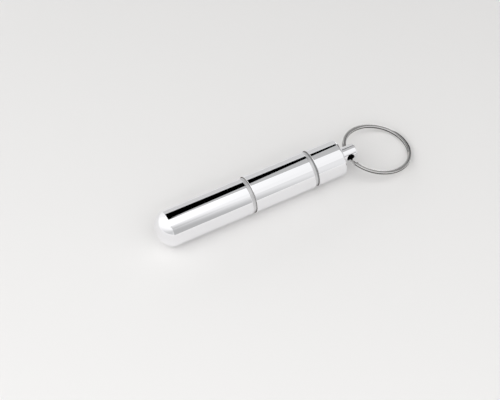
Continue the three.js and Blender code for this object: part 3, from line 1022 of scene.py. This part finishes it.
class KEYCHAIN_OT_stage(Operator):
    """Makes the floor, the light tent, the world and the camera"""
    bl_idname = "keychain.stage"
    bl_label = "Stage"

    def execute(self, context):
        scene = context.scene
        studio = scene.studio
        scene.view_settings.view_transform = "Standard"
        self.floor(studio)
        self.tent(studio)
        self.world(scene)
        self.camera(scene, studio)
        return {"FINISHED"}

    def floor(self, studio):
        """A pale matt floor that holds the shadow and turns white far from the holder."""
        material, tree, place = new_material("matt_white_card_floor")
        away = add(tree, "ShaderNodeVectorMath", {"operation": "LENGTH"}, {0: place})
        far = add(tree, "ShaderNodeMapRange", {"interpolation_type": "SMOOTHSTEP"}, {
            "Value": away.outputs["Value"], "From Min": WHITE_FROM, "From Max": WHITE_TO})
        path = add(tree, "ShaderNodeLightPath")
        glossy = add(tree, "ShaderNodeMath", {"operation": "MAXIMUM"}, {
            0: path.outputs["Is Camera Ray"], 1: path.outputs["Is Glossy Ray"]})
        seen = add(tree, "ShaderNodeMath", {"operation": "MAXIMUM"}, {
            0: glossy, 1: path.outputs["Is Transmission Ray"]})
        white = add(tree, "ShaderNodeMath", {"operation": "MULTIPLY"}, {0: far, 1: seen})
        matt = add(tree, "ShaderNodeBsdfDiffuse", inputs={"Color": opaque(studio.floor)})
        glow = add(tree, "ShaderNodeEmission")
        both = add(tree, "ShaderNodeMixShader", inputs={0: white, 1: matt, 2: glow})
        add(tree, "ShaderNodeOutputMaterial", inputs={"Surface": both})
        corners = oblong(-FLOOR_REACH, -FLOOR_REACH, FLOOR_REACH, FLOOR_REACH)
        flat_piece("floor", level(corners, -FLOOR_DROP), material)

    def tent(self, studio):
        """The cards round the holder, hidden from the camera."""
        shapes = {
            "softbox": level([*SOFTBOX_REAR, (RIGHT, SOFTBOX_FRONT), (LEFT, SOFTBOX_FRONT)]),
            "grey_flag": level([*FLAG_EDGE, FLAG_RIGHT, *SOFTBOX_REAR[:0:-1]]),
            "dark_slot": level([*SLOT_LEFT, SOFTBOX_REAR[1], *FLAG_EDGE, *SLOT_REAR]),
            "roof_left": level([SOFTBOX_REAR[0], *SLOT_LEFT[::-1], (LEFT, BACK)]),
            "roof_rear": level([FLAG_EDGE[-1], *SLOT_REAR, (RIGHT, BACK), FLAG_RIGHT]),
            "roof_front_left": level(oblong(LEFT, FRONT, FRONT_SPLIT, SOFTBOX_FRONT)),
            "roof_front": level(oblong(FRONT_SPLIT, FRONT, RIGHT, SOFTBOX_FRONT)),
            "front_wall_left": wall_y(FRONT, LEFT, FRONT_SPLIT),
            "front_wall": wall_y(FRONT, FRONT_SPLIT, RIGHT),
            "back_wall": wall_y(BACK, LEFT, RIGHT),
            "left_wall": wall_x(LEFT, FRONT, BACK),
            "right_wall": wall_x(RIGHT, FRONT, GAP_FRONT),
            "side_gap": wall_x(RIGHT, GAP_FRONT, GAP_REAR),
            "side_floor": level(SIDE_FLOOR, MM),
            "roof_gap": level(oblong(ROOF_GAP_LEFT, ROOF_GAP_FRONT, RIGHT, BACK), ROOF - MM),
            "corner_light": wall_x(RIGHT, GAP_REAR, BACK),
            "back_light": wall_y(BACK - MM, BACK_LIGHT_LEFT, RIGHT),
        }
        for name, corners in shapes.items():
            card(name, corners, studio.light, *CARD_LIGHT[name])

    def world(self, scene):
        """Pale light all round, outside the tent."""
        world = bpy.data.worlds.new("pale_room")
        scene.world = world
        world.use_nodes = True
        tree = world.node_tree
        tree.nodes.clear()
        room = add(tree, "ShaderNodeBackground", inputs={"Strength": 1.0})
        add(tree, "ShaderNodeOutputWorld", inputs={"Surface": room})

    def camera(self, scene, studio):
        """A camera where the photograph was taken."""
        data = bpy.data.cameras.new("camera")
        data.lens = studio.lens
        data.sensor_width = SENSOR_WIDTH
        data.clip_start = CAMERA_NEAR
        camera = bpy.data.objects.new("camera", data)
        scene.collection.objects.link(camera)
        forward = (CAMERA_AIM - CAMERA_PLACE).normalized()
        right = forward.cross(Vector((0, 0, 1))).normalized()
        up = right.cross(forward)
        turn = Matrix.Rotation(-CAMERA_ROLL, 3, forward)
        camera.matrix_world = Matrix.Translation(CAMERA_PLACE) @ Matrix(
            (turn @ right, turn @ up, -forward)).transposed().to_4x4()
        scene.camera = camera


OPERATORS = (
    KEYCHAIN_OT_dome_shell, KEYCHAIN_OT_joining_collar, KEYCHAIN_OT_middle_tube, KEYCHAIN_OT_screw_neck,
    KEYCHAIN_OT_neck_gasket, KEYCHAIN_OT_cap_shell, KEYCHAIN_OT_ring_post, KEYCHAIN_OT_post_washer,
    KEYCHAIN_OT_split_ring, KEYCHAIN_OT_toothpicks, KEYCHAIN_OT_stage,
)
SETTINGS = {
    "holder_sizes": HolderSizes,
    "ring_sizes": RingSizes,
    "pick_sizes": PickSizes,
    "finishes": Finishes,
    "studio": StudioSettings,
}


class KEYCHAIN_PT_holder(Panel):
    """Lists the pieces of the holder and their settings"""
    bl_idname = "KEYCHAIN_PT_holder"
    bl_label = "Toothpick Holder"
    bl_space_type = "VIEW_3D"
    bl_region_type = "UI"
    bl_category = "Holder"

    def draw(self, context):
        for maker in OPERATORS:
            self.layout.operator(maker.bl_idname)
        for name, kind in SETTINGS.items():
            box = self.layout.box()
            for field in kind.__annotations__:
                box.prop(getattr(context.scene, name), field)


CLASSES = (*SETTINGS.values(), *OPERATORS, KEYCHAIN_PT_holder)


def register():
    """Adds the classes, and their settings on the scene."""
    for kind in CLASSES:
        bpy.utils.register_class(kind)
    for name, kind in SETTINGS.items():
        setattr(bpy.types.Scene, name, PointerProperty(type=kind))


def unregister():
    """Takes the settings and the classes away again."""
    for name in SETTINGS:
        delattr(bpy.types.Scene, name)
    for kind in reversed(CLASSES):
        bpy.utils.unregister_class(kind)


def main():
    """Makes every piece and the stage."""
    register()
    for maker in OPERATORS:
        group, name = maker.bl_idname.split(".")
        getattr(getattr(bpy.ops, group), name)()


if __name__ == "__main__":
    main()
